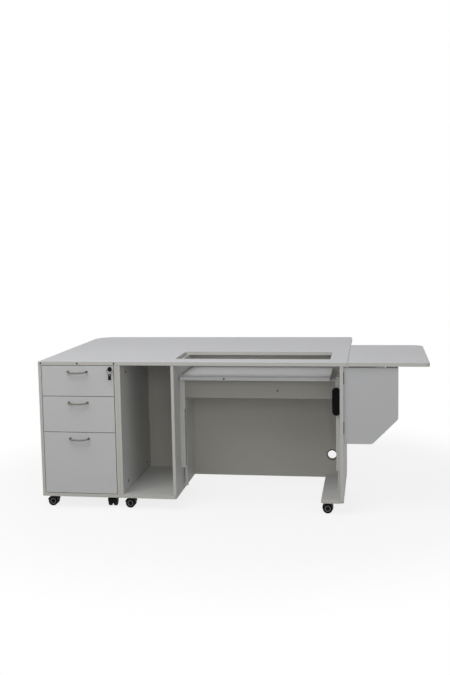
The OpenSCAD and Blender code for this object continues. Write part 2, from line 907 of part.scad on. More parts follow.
module bracket() {
    difference() {
        union() {
            translate([0.3, hinge_fit, bracket_top - bracket_h]) rotate([90, 0, 0])
                linear_extrude(board_t) bracket_outline();
            at_hinges() translate([notch_r, hinge_fit, 0])
                cube([plate_l - notch_r, leaf_t, hinge_h]);
        }
        at_hinges() translate([-1, -notch_r, -0.5])
            cube([notch_r + 1, notch_r + hinge_fit, hinge_h + 1]);
    }
    at_hinges() translate([0, 0, third_h + slide_fit]) difference() {
        union() {
            cylinder(r = knuckle_r, h = third_h - 2 * slide_fit);
            translate([0, hinge_fit, 0]) cube([notch_r + 1, leaf_t, third_h - 2 * slide_fit]);
        }
        translate([0, 0, -1]) cylinder(r = pin_r + run_fit, h = third_h + 2);
    }
}

// Fixed half of a bracket's hinges: leaf, end knuckles and pin
module fixed_half(at, size, relief_at, relief) {
    at_hinges() {
        difference() {
            translate([at[0], at[1], 0]) cube([size[0], size[1], hinge_h]);
            translate([relief_at[0], relief_at[1], third_h - 0.2])
                cube([relief[0], relief[1], third_h + 0.4]);
        }
        for (z = [0, 2 * third_h]) translate([0, 0, z]) cylinder(r = knuckle_r, h = third_h);
        cylinder(r = pin_r, h = hinge_h);
    }
}

module square_half() {
    fixed_half([-bracket_off, 0], [leaf_t, plate_l],
               [-bracket_off - 1, -1], [leaf_t + 2, notch_r + 1]);
}

module in_line_half() {
    fixed_half([-plate_l - bracket_off, hinge_fit], [plate_l + bracket_off, leaf_t],
               [-notch_r, 0], [notch_r + 1, 3]);
}

module at_side() {
    translate(side_axis) children();
}

module at_rear_left() {
    translate(rear_left_axis) mirror([1, 0, 0]) rotate(90) children();
}

module at_rear_right() {
    translate(rear_right_axis) rotate(90) children();
}

module side_bracket() {
    color(white) place() at_side() bracket();
}

module rear_left_bracket() {
    color(white) place() at_rear_left() bracket();
}

module rear_right_bracket() {
    color(white) place() at_rear_right() bracket();
}

module bracket_hinges() {
    color(zinc) place() {
        at_side() square_half();
        at_rear_left() in_line_half();
        at_rear_right() in_line_half();
    }
}

// Castors: twin wheels under a hood that swivels in a plate
wheel_r = wheel_d / 2;
castor_front = setback + castor_inset;
castor_back = carcass_back - castor_inset;
castor_slot_x = pedestal_w + castor_side;
castor_foot_x = foot_x0 + foot_w / 2 + 2;
castors = [for (y = [castor_front, castor_back], x = [castor_side, pedestal_w - castor_side,
                                                      castor_slot_x, castor_foot_x])
           [x, y, x == pedestal_w - castor_side ? 90 : 180]];
plate_w = 42;
plate_t = 2.5;
plate_hole_in = 5;
plate_hole_r = 1.8;
boss_r = 10;
stem_r = 4;
fork_web = 8;
fork_gap = 1.5;
fork_shell = 2.5;
axle_r = 3;
wheel_in = fork_web / 2 + 1.2;
tread_r = 4;
hub_r = 9;
dish_r = 20;
dish_t = 3;

module castor_place(i) {
    translate([castors[i][0], castors[i][1], 0]) rotate(castors[i][2]) children();
}

module castor_plates() {
    color(black) place() for (i = [0:7]) castor_place(i) difference() {
        union() {
            translate([-plate_w / 2, -plate_w / 2, ground_gap - plate_t])
                linear_extrude(plate_t) round_board(plate_w, plate_w, [3, 3, 3, 3]);
            translate([0, 0, ground_gap - plate_t - 4]) cylinder(r = boss_r, h = 5);
        }
        translate([0, 0, ground_gap - plate_t - 5]) cylinder(r = stem_r + run_fit, h = 12);
        for (x = [-1, 1], y = [-1, 1]) {
            translate([x, y, 0] * (plate_w / 2 - plate_hole_in))
                translate([0, 0, ground_gap - plate_t - 1]) cylinder(r = plate_hole_r, h = plate_t + 2);
        }
    }
}

module castor_fork(i) {
    hood_r = wheel_r + fork_gap + fork_shell;
    boss_top = ground_gap - plate_t - 4 - slide_fit;
    color(black) place() castor_place(i) {
        translate([trail, 0, wheel_r]) rotate([90, 0, 0]) difference() {
            union() {
                translate([0, 0, -fork_web / 2]) cylinder(r = hood_r - 1, h = fork_web);
                rotate(15) rotate_extrude(angle = 150)
                    translate([wheel_r + fork_gap, -wheel_in - wheel_w - 1])
                        square([fork_shell, 2 * (wheel_in + wheel_w + 1)]);
            }
            translate([0, 0, -fork_web]) cylinder(r = axle_r + run_fit, h = 2 * fork_web);
            translate([-hood_r, -hood_r - 8, -fork_web]) cube([2 * hood_r, hood_r, 2 * fork_web]);
        }
        translate([0, 0, wheel_d + 0.4]) cylinder(r = boss_r - 1, h = boss_top - wheel_d - 0.4);
        translate([0, 0, wheel_d + 0.4]) cylinder(r = stem_r, h = ground_gap - wheel_d - 0.5);
    }
}

// Two wheels fused to their axle
module castor_wheels(i) {
    color(black) place() castor_place(i) translate([trail, 0, wheel_r]) rotate([90, 0, 0]) {
        rotate_extrude() {
            translate([0, -wheel_in - 1]) square([axle_r, 2 * wheel_in + 2]);
            for (side = [-1, 1]) mirror([0, side > 0 ? 0 : 1]) translate([0, wheel_in])
                difference() {
                    round_board(wheel_r, wheel_w, [0, tread_r, tread_r, 0]);
                    translate([hub_r, wheel_w - dish_t])
                        round_board(dish_r - hub_r, dish_t + 1, [dish_t, dish_t, 0, 0]);
                }
        }
    }
}

module castor_fork_1() {
    castor_fork(0);
}

module castor_fork_2() {
    castor_fork(1);
}

module castor_fork_3() {
    castor_fork(2);
}

module castor_fork_4() {
    castor_fork(3);
}

module castor_fork_5() {
    castor_fork(4);
}

module castor_fork_6() {
    castor_fork(5);
}

module castor_fork_7() {
    castor_fork(6);
}

module castor_fork_8() {
    castor_fork(7);
}

module castor_wheels_1() {
    castor_wheels(0);
}

module castor_wheels_2() {
    castor_wheels(1);
}

module castor_wheels_3() {
    castor_wheels(2);
}

module castor_wheels_4() {
    castor_wheels(3);
}

module castor_wheels_5() {
    castor_wheels(4);
}

module castor_wheels_6() {
    castor_wheels(5);
}

module castor_wheels_7() {
    castor_wheels(6);
}

module castor_wheels_8() {
    castor_wheels(7);
}

pedestal_top();
main_top();
side_leaf();
rear_leaf();
leaf_fittings();
pedestal_left_side();
pedestal_right_side();
pedestal_bottom();
pedestal_back();
slot_left_side();
slot_right_side();
slot_floor();
slot_back();
module_screws();
back_panel();
cable_grommet();
right_side();
foot_board();
cabinet_rails();
top_drawer_front();
top_drawer_box();
top_drawer_handle();
top_drawer_rails();
lock_barrel();
key();
spare_key();
middle_drawer_front();
middle_drawer_box();
middle_drawer_handle();
middle_drawer_rails();
bottom_drawer_front();
bottom_drawer_box();
bottom_drawer_handle();
bottom_drawer_rails();
lift_tracks();
lift_platform();
lift_rail();
lift_carriages();
release_lever();
side_bracket();
rear_left_bracket();
rear_right_bracket();
bracket_hinges();
castor_plates();
castor_fork_1();
castor_fork_2();
castor_fork_3();
castor_fork_4();
castor_fork_5();
castor_fork_6();
castor_fork_7();
castor_fork_8();
castor_wheels_1();
castor_wheels_2();
castor_wheels_3();
castor_wheels_4();
castor_wheels_5();
castor_wheels_6();
castor_wheels_7();
castor_wheels_8();
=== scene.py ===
import json
import math

import bpy
import numpy as np
from mathutils import Matrix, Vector
from mathutils.geometry import tessellate_polygon

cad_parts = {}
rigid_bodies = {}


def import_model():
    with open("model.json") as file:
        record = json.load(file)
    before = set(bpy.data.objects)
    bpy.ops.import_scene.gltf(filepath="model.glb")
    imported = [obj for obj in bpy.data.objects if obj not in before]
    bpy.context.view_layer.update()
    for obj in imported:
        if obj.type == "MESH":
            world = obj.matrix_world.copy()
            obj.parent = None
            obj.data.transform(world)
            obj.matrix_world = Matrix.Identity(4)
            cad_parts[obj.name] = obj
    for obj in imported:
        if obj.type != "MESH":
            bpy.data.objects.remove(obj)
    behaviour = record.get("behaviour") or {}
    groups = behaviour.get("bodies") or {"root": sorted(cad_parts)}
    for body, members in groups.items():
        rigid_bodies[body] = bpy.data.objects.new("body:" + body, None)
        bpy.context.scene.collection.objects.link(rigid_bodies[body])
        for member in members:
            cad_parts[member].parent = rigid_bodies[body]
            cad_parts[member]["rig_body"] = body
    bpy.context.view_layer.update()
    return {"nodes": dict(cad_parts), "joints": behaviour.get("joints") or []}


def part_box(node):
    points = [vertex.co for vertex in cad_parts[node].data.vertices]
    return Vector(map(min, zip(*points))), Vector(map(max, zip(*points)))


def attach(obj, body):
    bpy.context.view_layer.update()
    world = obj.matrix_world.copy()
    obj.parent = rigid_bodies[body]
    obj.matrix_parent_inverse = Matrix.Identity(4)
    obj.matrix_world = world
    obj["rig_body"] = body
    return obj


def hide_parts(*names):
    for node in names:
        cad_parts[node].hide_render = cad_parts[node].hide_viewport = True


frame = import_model()

# ---- Camera -------------------------------------------------------------------------------
# Stands in front of the cabinet, 0.73 m right of its middle and 1.43 m up, looking slightly
# down and to the left. Focal length in pixels and angles come from the cabinet's own edges.

CAMERA_PLACE = (0.7254, -5.1385, 1.4296)
CAMERA_FOCAL_PX = 928.8
IMAGE_HEIGHT_PX = 675
CAMERA_TURN, CAMERA_DOWN, CAMERA_ROLL = (math.radians(a) for a in (9.102, 6.424, -1.034))

aim = np.array([-math.sin(CAMERA_TURN) * math.cos(CAMERA_DOWN),
                math.cos(CAMERA_TURN) * math.cos(CAMERA_DOWN), -math.sin(CAMERA_DOWN)])
level = np.array([math.cos(CAMERA_TURN), math.sin(CAMERA_TURN), 0.0])
upright = np.cross(level, aim)
right = math.cos(CAMERA_ROLL) * level + math.sin(CAMERA_ROLL) * upright
upward = math.cos(CAMERA_ROLL) * upright - math.sin(CAMERA_ROLL) * level
lens = bpy.data.cameras.new("camera")
lens.sensor_fit = "VERTICAL"
lens.sensor_height = 36.0
lens.lens = CAMERA_FOCAL_PX * lens.sensor_height / IMAGE_HEIGHT_PX
camera = bpy.data.objects.new("camera", lens)
camera.matrix_world = Matrix([[*row, place] for row, place in
                              zip(np.stack([right, upward, -aim], axis=1), CAMERA_PLACE)]
                             + [[0, 0, 0, 1]])
bpy.context.scene.collection.objects.link(camera)
bpy.context.scene.camera = camera


# ---- White tops and leaves ----------------------------------------------------------------
# Chipboard faced with cool white melamine that has a fine orange-peel skin. The edges carry
# a warmer grey plastic band, glued on and trimmed to a soft edge, so a hairline joint shows.

class Value:
    """An output of a shader node; + - * and comparisons on it add Math nodes."""

    def __init__(self, finish, out):
        self.finish, self.out = finish, out

    def math(self, operation, first, second=0.0):
        return self.finish.node("ShaderNodeMath", {"operation": operation}, first, second)

    def __add__(self, other): return self.math("ADD", self, other)
    def __radd__(self, other): return self.math("ADD", other, self)
    def __sub__(self, other): return self.math("SUBTRACT", self, other)
    def __rsub__(self, other): return self.math("SUBTRACT", other, self)
    def __mul__(self, other): return self.math("MULTIPLY", self, other)
    def __rmul__(self, other): return self.math("MULTIPLY", other, self)
    def __gt__(self, other): return self.math("GREATER_THAN", self, other)
    def __lt__(self, other): return self.math("LESS_THAN", self, other)
    def __abs__(self): return self.math("ABSOLUTE", self)


class Finish:
    """A material built node by node, with Object coordinates ready as .x .y .z."""

    def __init__(self, name):
        self.material = bpy.data.materials.new(name)
        self.material.use_nodes = True
        self.tree = self.material.node_tree
        self.tree.nodes.clear()
        self.place = self.node("ShaderNodeTexCoord", output="Object")
        split = self.node("ShaderNodeSeparateXYZ", None, self.place).out.node
        self.x, self.y, self.z = (Value(self, out) for out in split.outputs)

    def node(self, kind, settings=None, *inputs, output=0, **named):
        """Adds one node: its settings first, then the values or links of its sockets."""
        made = self.tree.nodes.new(kind)
        for key, value in (settings or {}).items():
            setattr(made, key, value)
        sockets = list(enumerate(inputs)) + [(k.replace("_", " "), v) for k, v in named.items()]
        for key, value in sockets:
            if isinstance(value, Value):
                self.tree.links.new(value.out, made.inputs[key])
            elif made.inputs[key].type == "RGBA":
                made.inputs[key].default_value = (*value, 1.0)
            else:
                made.inputs[key].default_value = value
        return Value(self, made.outputs[output])

    def blend(self, share, first, second, kind="MIX"):
        """Colour first where share is 0 and second where it is 1."""
        mixed = self.node("ShaderNodeMix", {"data_type": "RGBA", "blend_type": kind}, output=2)
        for socket, value in zip((0, 6, 7), (share, first, second)):
            slot = mixed.out.node.inputs[socket]
            if isinstance(value, Value):
                self.tree.links.new(value.out, slot)
            else:
                slot.default_value = value if socket == 0 else (*value, 1)
        return mixed

    def noise(self, scale, detail=3.0, roughness=0.5, stretch=None):
        """Cloudy noise from 0 to 1 at a scale in blobs per metre, stretched along an axis."""
        place = self.place
        if stretch:
            place = self.node("ShaderNodeMapping", None, self.place, Scale=stretch)
        return self.node("ShaderNodeTexNoise", None, Vector=place, Scale=scale, Detail=detail,
                         Roughness=roughness)

    def ramp(self, value, low, high):
        """0 at low, 1 at high, smooth between."""
        return self.node("ShaderNodeMapRange", {"interpolation_type": "SMOOTHSTEP"}, value,
                         low, high, 0.0, 1.0)

    def between(self, value, low, high):
        """1 between low and high, 0 elsewhere."""
        return (value > low) * (value < high)

    def away(self, centre):
        """Distance from a point."""
        return self.node("ShaderNodeVectorMath", {"operation": "DISTANCE"}, self.place, centre,
                         output=1)

    def shade(self, color, tone):
        """A colour times a varying grey."""
        grey = self.node("ShaderNodeCombineColor", None, tone, tone, tone)
        return self.blend(1.0, color, grey, "MULTIPLY")

    def bump(self, height, depth):
        """A relief whose height of 0 to 1 stands for a depth in metres."""
        return self.node("ShaderNodeBump", None, Strength=1.0, Distance=depth, Height=height)

    def finished(self, color, roughness, metallic=0.0, normal=None, specular=0.5):
        """The material, with one shader that takes these."""
        shader = self.node("ShaderNodeBsdfPrincipled", None, Metallic=metallic,
                           Roughness=roughness, Base_Color=color, Specular_IOR_Level=specular)
        if normal:
            self.tree.links.new(normal.out, shader.out.node.inputs["Normal"])
        end = self.tree.nodes.new("ShaderNodeOutputMaterial")
        self.tree.links.new(shader.out, end.inputs["Surface"])
        return self.material


def dress(material, *nodes):
    """Gives CAD nodes a material in place of the one they were packed with."""
    for name in nodes:
        mesh = frame["nodes"][name].data
        mesh.materials.clear()
        mesh.materials.append(material)


def stand_in(name, shapes, material, node, beside=False, **values):
    """Joins shapes, each (points, normals, blocks of faces), in a mesh that takes a node's
    place, or stays beside it. values are numbers kept at the points for the material."""
    mesh = bpy.data.meshes.new(name)
    starts = np.cumsum([0] + [len(points) for points, _, _ in shapes])
    mesh.from_pydata(np.concatenate([points for points, _, _ in shapes]).tolist(), [],
                     [face for start, (_, _, blocks) in zip(starts, shapes)
                      for block in blocks for face in (block + start).tolist()])
    mesh.polygons.foreach_set("use_smooth", np.ones(len(mesh.polygons), bool))
    mesh.normals_split_custom_set_from_vertices(
        np.concatenate([normals for _, normals, _ in shapes]).tolist())
    for key, numbers in values.items():
        mesh.attributes.new(key, "FLOAT", "POINT").data.foreach_set("value", numbers)
    mesh.materials.append(material)
    made = bpy.data.objects.new(name, mesh)
    bpy.context.scene.collection.objects.link(made)
    if not beside:
        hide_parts(node)
    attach(made, frame["nodes"][node]["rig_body"])


def wall(rows, columns, joined=False):
    """Faces of a grid whose rows are rings, the last row joined to the first if joined."""
    row, column = np.meshgrid(np.arange(rows - (not joined)), np.arange(columns), indexing="ij")
    above, beside = (row + 1) % rows, (column + 1) % columns
    return np.stack([row * columns + column, row * columns + beside,
                     above * columns + beside, above * columns + column], -1).reshape(-1, 4)


CORNER_STEPS = 7


def rounded(corners, radii, steps=CORNER_STEPS):
    """A loop round a flat shape and the outward direction at each of its points. At a corner
    the direction turns evenly from one edge's to the next one's, and the point is the middle
    of the corner's arc plus the direction times its radius, or minus that at an inward one."""
    corners = np.array(corners, float)
    radii = np.broadcast_to(np.asarray(radii, float), len(corners))
    along = np.roll(corners, -1, axis=0) - corners
    along /= np.linalg.norm(along, axis=1)[:, None]
    came = np.roll(along, 1, axis=0)
    facing = np.stack([came[:, 1], -came[:, 0]], axis=1)
    turn = np.arctan2(came[:, 0] * along[:, 1] - came[:, 1] * along[:, 0],
                      (came * along).sum(axis=1))
    reach = radii * np.sign(turn)
    middle = (corners - came * (radii * np.tan(np.abs(turn) / 2))[:, None]
              - facing * reach[:, None])
    angle = (np.arctan2(facing[:, 1], facing[:, 0])[:, None]
             + turn[:, None] * np.linspace(0.0, 1.0, steps))
    facing = np.stack([np.cos(angle), np.sin(angle)], axis=2)
    return ((middle[:, None] + facing * reach[:, None, None]).reshape(-1, 2),
            facing.reshape(-1, 2))


def slab(loops, low, high, turn, soft=0.0009, steps=4, dish=()):
    """A board from loops in its own plane, the first its outline and the others its holes.
    From the lower face to the upper one the edge turns through angles a from -90 to 90
    degrees: the loop is drawn in by soft (1 - cos a), and stands soft (1 - |sin a|) from the
    nearer face. dish adds rings of (drawn in, sunk, slope) inside the upper edge. The rows of
    turn are the board's two directions and its thickness."""
    quarter = np.linspace(0.0, np.pi / 2, steps)
    lean = np.concatenate([quarter - np.pi / 2, quarter])
    drawn = soft * (1.0 - np.cos(lean))
    height = np.where(lean < 0, low, high) + soft * np.where(lean < 0, 1.0, -1.0) \
        + soft * np.sin(lean)
    height[steps - 1] = low + soft
    height[steps] = high - soft
    for more, sunk, slope in dish:
        drawn, height = np.append(drawn, more), np.append(height, high - sunk)
        lean = np.append(lean, np.pi / 2 + slope)
    points, normals, blocks, ends, start = [], [], [], [[], []], 0
    for loop, facing in loops:
        moved = loop[None] - facing[None] * drawn[:, None, None]
        points.append(np.dstack([moved, np.broadcast_to(height[:, None], moved.shape[:2])]))
        normals.append(np.dstack([facing[None] * np.cos(lean)[:, None, None],
                                  np.broadcast_to(np.sin(lean)[:, None], moved.shape[:2])]))
        blocks.append(wall(len(lean), len(loop)) + start)
        ends[0].append(start + np.arange(len(loop)))
        ends[1].append(start + (len(lean) - 1) * len(loop) + np.arange(len(loop)))
        start += len(lean) * len(loop)
    points = np.concatenate([rows.reshape(-1, 3) for rows in points])
    normals = np.concatenate([rows.reshape(-1, 3) for rows in normals])
    for face, up in zip(ends, (-1, 1)):
        fill = np.array(tessellate_polygon([points[ring][:, :2].tolist() for ring in face]))
        fill = np.concatenate(face)[fill]
        a, b, c = (points[fill[:, k], :2] for k in range(3))
        left = np.cross(b - a, c - a) * up > 0
        blocks.append(np.where(left[:, None], fill, fill[:, ::-1]))
    return points @ turn, normals @ turn, blocks


FLAT = np.eye(3)
TOP_WHITE = (0.605, 0.608, 0.622)
BAND_GREY = (0.54, 0.53, 0.50)
BAND_LINE = (0.30, 0.29, 0.27)
FLECK_GREY = (0.40, 0.39, 0.37)
SCUFF_GREY = (0.33, 0.32, 0.29)
HOLE_RIM = (0.20, 0.19, 0.17)
HOLE_SHADE = (0.012, 0.011, 0.010)
HINGE_BLACK = (0.016, 0.016, 0.016)
MELAMINE_GLOSS, SKIN_DEPTH = 0.06, 0.00004
SHARP, HAIRLINE = 0.0012, 0.0004
HOLE_R, HOLE_CRUSH, HOLE_FADE, HOLE_FROM_END = 0.0046, 0.0008, 0.0006, 0.015
PEDESTAL_CORNER, LEAF_CORNER, LEAF_REAR, REAR_LEFT = 0.002, 0.022, 0.060, 0.105
CUTOUT_LEFT, CUTOUT_FRONT, CUTOUT_W, CUTOUT_D, CUTOUT_R = 0.281, 0.130, 0.808, 0.288, 0.008
top_low, top_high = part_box("main_top")


def melamine(name, white, edge=None, grime=0.0, holes=(), band_or_shade_color=BAND_GREY, steel=None):
    """White melamine: cloud-like tone changes, orange-peel skin, a band where edge is 1, which on
    drawer fronts is a dark grey of painted shade for the gaps, dowel holes painted on as a
    crushed rim round a dark disc of painted shade, and black fittings where steel is 1."""
    f = Finish(name)
    color = f.shade(white, 0.965 + f.noise(1.7, 2.0) * 0.04 + f.noise(60.0, 2.0) * 0.03)
    color = f.blend(f.ramp(f.noise(420.0, 1.0), 0.70, 0.78) * 0.05, color, FLECK_GREY)
    rough = 0.36 + f.noise(25.0, 4.0) * 0.12
    if edge:
        band, line = edge(f)
        # On drawer fronts this band is a dark grey of painted shade for the gaps between fronts.
        color = f.blend(band, color, f.shade(band_or_shade_color, 0.96 + f.noise(90.0, 3.0) * 0.08))
        color = f.blend(line, color, BAND_LINE)
        rough = rough + band * 0.08
    if grime:
        low = 1.0 - f.ramp(f.z, 0.07, 0.30)
        scuff = f.ramp(f.noise(14.0, 6.0, 0.65, (1.0, 1.0, 0.25)), 0.52, 0.74)
        color = f.blend(low * scuff * grime, color, SCUFF_GREY)
        rough = rough + low * scuff * 0.15
    # Painted shade: each hole is painted on the face as a crushed rim round a dark disc for its
    # depth.
    for centre in holes:
        away = f.away(centre)
        color = f.blend(1.0 - f.ramp(away, HOLE_R, HOLE_R + HOLE_CRUSH), color, HOLE_RIM)
        color = f.blend(1.0 - f.ramp(away, HOLE_R - HOLE_FADE, HOLE_R), color, HOLE_SHADE)
    if steel:
        color = f.blend(steel(f), color, HINGE_BLACK)
    return f.finished(color, rough, normal=f.bump(f.noise(1500.0, 2.0), SKIN_DEPTH),
                      specular=MELAMINE_GLOSS)


def top_edges(f):
    """The rim of a top, all between its two faces, and the hairline under the upper one."""
    band = f.between(f.z, top_low.z + HAIRLINE, top_high.z - HAIRLINE)
    return band, f.between(f.z, top_high.z - 3 * HAIRLINE, top_high.z - HAIRLINE) * 0.5


def board(name, turn, radii, material, holes=()):
    """A board as large as its CAD node, with its own radius at each corner."""
    low, high = (np.array(corner) @ turn.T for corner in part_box(name))
    low, high = np.minimum(low, high), np.maximum(low, high)
    outline = rounded([(low[0], low[1]), (high[0], low[1]), (high[0], high[1]),
                       (low[0], high[1])], np.maximum(radii, SHARP))
    stand_in(name + "_board", [slab([outline, *holes], low[2], high[2], turn)], material, name)


pedestal_low, pedestal_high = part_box("pedestal_top")
hole_z = (pedestal_low.z + pedestal_high.z) / 2
# The pedestal top's dowel holes are painted on its front edge, with painted shade for their
# depth.
dowel_holes = [(x, pedestal_low.y, hole_z) for x in
               (pedestal_low.x + HOLE_FROM_END, (pedestal_low.x + pedestal_high.x) / 2,
                pedestal_high.x - HOLE_FROM_END)]
top_white = melamine("top_melamine", TOP_WHITE, top_edges)
cut_x, cut_y = top_low.x + CUTOUT_LEFT, top_low.y + CUTOUT_FRONT
cutout = rounded([(cut_x, cut_y), (cut_x, cut_y + CUTOUT_D),
                  (cut_x + CUTOUT_W, cut_y + CUTOUT_D), (cut_x + CUTOUT_W, cut_y)], CUTOUT_R)
board("pedestal_top", FLAT, (PEDESTAL_CORNER, 0, 0, 0),
      melamine("pedestal_top_melamine", TOP_WHITE, top_edges, holes=dowel_holes))
board("main_top", FLAT, (0, 0, 0, 0), top_white, [cutout])
board("side_leaf", FLAT, (0, LEAF_CORNER, LEAF_REAR, 0), top_white)
board("rear_leaf", FLAT, (0, 0, LEAF_CORNER, REAR_LEFT), top_white)

# ---- Carcass ------------------------------------------------------------------------------
# Upright and floor boards in the same melamine, a shade warmer, with the banded edge at the
# front. They are doweled and screwed together, and scuffed a little near the floor.

BOARD_WHITE = (0.560, 0.560, 0.545)
BACK_GREY = (0.49, 0.48, 0.44)
FOOT_CORNER, HEEL_CORNER, BAND_T, BOARD_GRIME = 0.012, 0.060, 0.001, 0.14
UPRIGHT = np.array([[0.0, 1, 0], [0, 0, 1], [1, 0, 0]])
carcass_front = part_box("right_side")[0].y


def front_edges(f):
    """The front edge of a board, and the hairline where its band starts."""
    glue = carcass_front + BAND_T
    return f.y < glue, f.between(f.y, glue, glue + HAIRLINE) * 0.7


board_white = melamine("board_melamine", BOARD_WHITE, front_edges, grime=BOARD_GRIME)
for name in ("pedestal_left_side", "pedestal_right_side", "slot_left_side", "slot_right_side"):
    board(name, UPRIGHT, (0, 0, 0, 0), board_white)
board("right_side", UPRIGHT, (FOOT_CORNER, HEEL_CORNER, 0, 0), board_white)
board("pedestal_bottom", FLAT, (0, 0, 0, 0), board_white)
board("slot_floor", FLAT, (0, FOOT_CORNER, FOOT_CORNER, 0), board_white)
board("foot_board", FLAT, (FOOT_CORNER, 0, 0, FOOT_CORNER), board_white)
dress(melamine("back_melamine", BACK_GREY, grime=BOARD_GRIME),
      "pedestal_back", "slot_back", "back_panel")

# ---- Joining screws -----------------------------------------------------------------------
# Four zinc screws with low heads and cross recesses darkened with painted shade, which join
# the slot to the pedestal.

DARK_ZINC = (0.10, 0.10, 0.105)
RECESS_SHADE = (0.03, 0.03, 0.032)
EVEN = (1.0, 1.0, 1.0)
HEAD_R, ARM_HALF, ARM_REACH = 0.007, 0.0008, 0.0034
METAL_SHADE, METAL_DEPTH = 0.12, 0.00001


def metal(name, color, rough, grain, stretch, crosses=()):
    """Metal with a drawn or plated grain: noise stretched along the working direction, and a
    cross recess of painted shade, a dark cross, round each given point of a wall."""
    f = Finish(name)
    lines = f.noise(grain, 3.0, 0.6, stretch)
    cloud = f.noise(35.0, 3.0)
    tinted = f.shade(color, 1.0 - METAL_SHADE + cloud * METAL_SHADE + lines * METAL_SHADE * 0.5)
    # Painted shade: the dark cross stands in for the shadow inside each screw's cross recess.
    for y, z in crosses:
        across, upward = abs(f.y - y), abs(f.z - z)
        arms = (across < ARM_HALF) * (upward < ARM_REACH) \
            + (upward < ARM_HALF) * (across < ARM_REACH)
        tinted = f.blend(arms, tinted, RECESS_SHADE)
    return f.finished(tinted, rough + lines * 0.12 + cloud * 0.06, metallic=1.0,
                      normal=f.bump(lines, METAL_DEPTH))


screws_low, screws_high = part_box("module_screws")
dress(metal("screw_zinc", DARK_ZINC, 0.45, 300.0, EVEN,
            crosses=[(y, z) for y in (screws_low.y + HEAD_R, screws_high.y - HEAD_R)
                     for z in (screws_low.z + HEAD_R, screws_high.z - HEAD_R)]),
      "module_screws")

# ---- Drawers ------------------------------------------------------------------------------
# Three boxes of matt white board on zinc-plated slides, each behind a melamine front whose rim,
# behind its face, is a dark grey of painted shade for the gaps. Its bow handle is a bent bar in
# brown satin nickel on two round feet.

FRONT_WHITE = (0.568, 0.572, 0.570)
BOX_WHITE = (0.52, 0.52, 0.51)
NICKEL = (0.19, 0.178, 0.155)
# Painted shade: the dark grey on the drawer fronts' rims stands in for the shadow in the gaps.
GAP_SHADE_GREY = (0.13, 0.125, 0.117)
ZINC = (0.52, 0.525, 0.54)
RIM_FROM, RIM_TO = 0.0010, 0.0156
HANDLE_SPAN, HANDLE_REACH, HANDLE_R, HANDLE_BEND = 0.100, 0.030, 0.0042, 0.009
HANDLE_BOW, HANDLE_DROOP, BOW_POWER = math.radians(20.0), math.radians(32.0), 2.6
BOW_POINTS, BEND_POINTS, LEG_SUNK = 61, 12, 0.001
FOOT_R, FOOT_H, PIP = 0.0066, 0.003, 0.0002
FACING = np.array([[1.0, 0, 0], [0, 0, 1], [0, -1, 0]])
DRAWERS = ("top", "middle", "bottom")


def revolved(corners, radii, centre, turn, solid=False, steps=48):
    """A rounded profile of (radius, height) carried round an axis, the third row of turn:
    point = centre + radius (cos t first + sin t second) + height third. A solid one starts and
    ends at the radius PIP beside the axis, where a small disc closes it."""
    profile, facing = rounded(corners, radii)
    if solid:
        keep = slice(CORNER_STEPS - 1, len(profile) - CORNER_STEPS + 1)
        profile, facing = profile[keep], facing[keep]
    angle = np.arange(steps) * 2 * np.pi / steps
    round_to = np.stack([np.cos(angle), np.sin(angle), 0 * angle], 1) @ turn
    points = (np.array(centre) + profile[:, :1, None] * round_to
              + profile[:, 1:, None] * turn[2])
    normals = facing[:, :1, None] * round_to + facing[:, 1:, None] * turn[2]
    blocks = [wall(len(profile), steps, joined=not solid)]
    if solid:
        ring = np.arange(steps)
        blocks += [ring[None, ::-1], (len(profile) - 1) * steps + ring[None]]
    return points.reshape(-1, 3), normals.reshape(-1, 3), blocks


def bar(path, across, radius, steps=20):
    """A round bar along a path: at each point a circle stands across the way the path runs,
    point = path + radius (cos t side + sin t rise), where side and rise are square to it."""
    way = np.gradient(path, axis=0)
    way /= np.linalg.norm(way, axis=1)[:, None]
    side = np.cross(across, way)
    side /= np.linalg.norm(side, axis=1)[:, None]
    rise = np.cross(way, side)
    angle = np.arange(steps) * 2 * np.pi / steps
    normals = (side[:, None] * np.cos(angle)[:, None] + rise[:, None] * np.sin(angle)[:, None])
    points = path[:, None] + normals * radius
    ring = np.arange(steps)
    blocks = [wall(len(path), steps), ring[None, ::-1], (len(path) - 1) * steps + ring[None]]
    return points.reshape(-1, 3), normals.reshape(-1, 3), blocks


def handle_path(centre):
    """The middle line of a handle: a leg, a bow that stands out and down by rise (1 - |u|^2.6)
    for u from -1 to 1, and a leg. Each corner is rounded by the curve (1-t)^2 a +
    2t(1-t) corner + t^2 b from a point before it to one after."""
    rise = HANDLE_SPAN / 2 * math.tan(HANDLE_BOW / 2)
    leg = HANDLE_REACH - HANDLE_R - rise * math.cos(HANDLE_DROOP)
    u = np.linspace(-1.0, 1.0, BOW_POINTS)
    out = rise * (1 - np.abs(u) ** BOW_POWER)
    arc = np.stack([HANDLE_SPAN / 2 * u, -leg - out * math.cos(HANDLE_DROOP),
                    -out * math.sin(HANDLE_DROOP)], 1)
    first = int(np.argmax(arc[:, 0] > -HANDLE_SPAN / 2 + HANDLE_BEND))
    arc_in, corner, before = arc[first], arc[0], np.array([-HANDLE_SPAN / 2,
                                                          -leg + HANDLE_BEND, 0.0])
    t = np.linspace(0.0, 1.0, BEND_POINTS)[:, None]
    curve = (1 - t) ** 2 * before + 2 * t * (1 - t) * corner + t ** 2 * arc_in
    half = np.concatenate([[[-HANDLE_SPAN / 2, LEG_SUNK, 0.0]], curve,
                           arc[first + 1:BOW_POINTS // 2 + 1]])
    other = half[-2::-1] * (-1.0, 1.0, 1.0)
    return np.array(centre) + np.concatenate([half, other])


def shaded_rims(f):
    """A drawer front's rim behind its face, painted shade for the gaps, and the hairline before
    it.
    """
    return (f.between(f.y, carcass_front + RIM_FROM, carcass_front + RIM_TO),
            f.between(f.y, carcass_front + RIM_FROM - HAIRLINE, carcass_front + RIM_FROM))


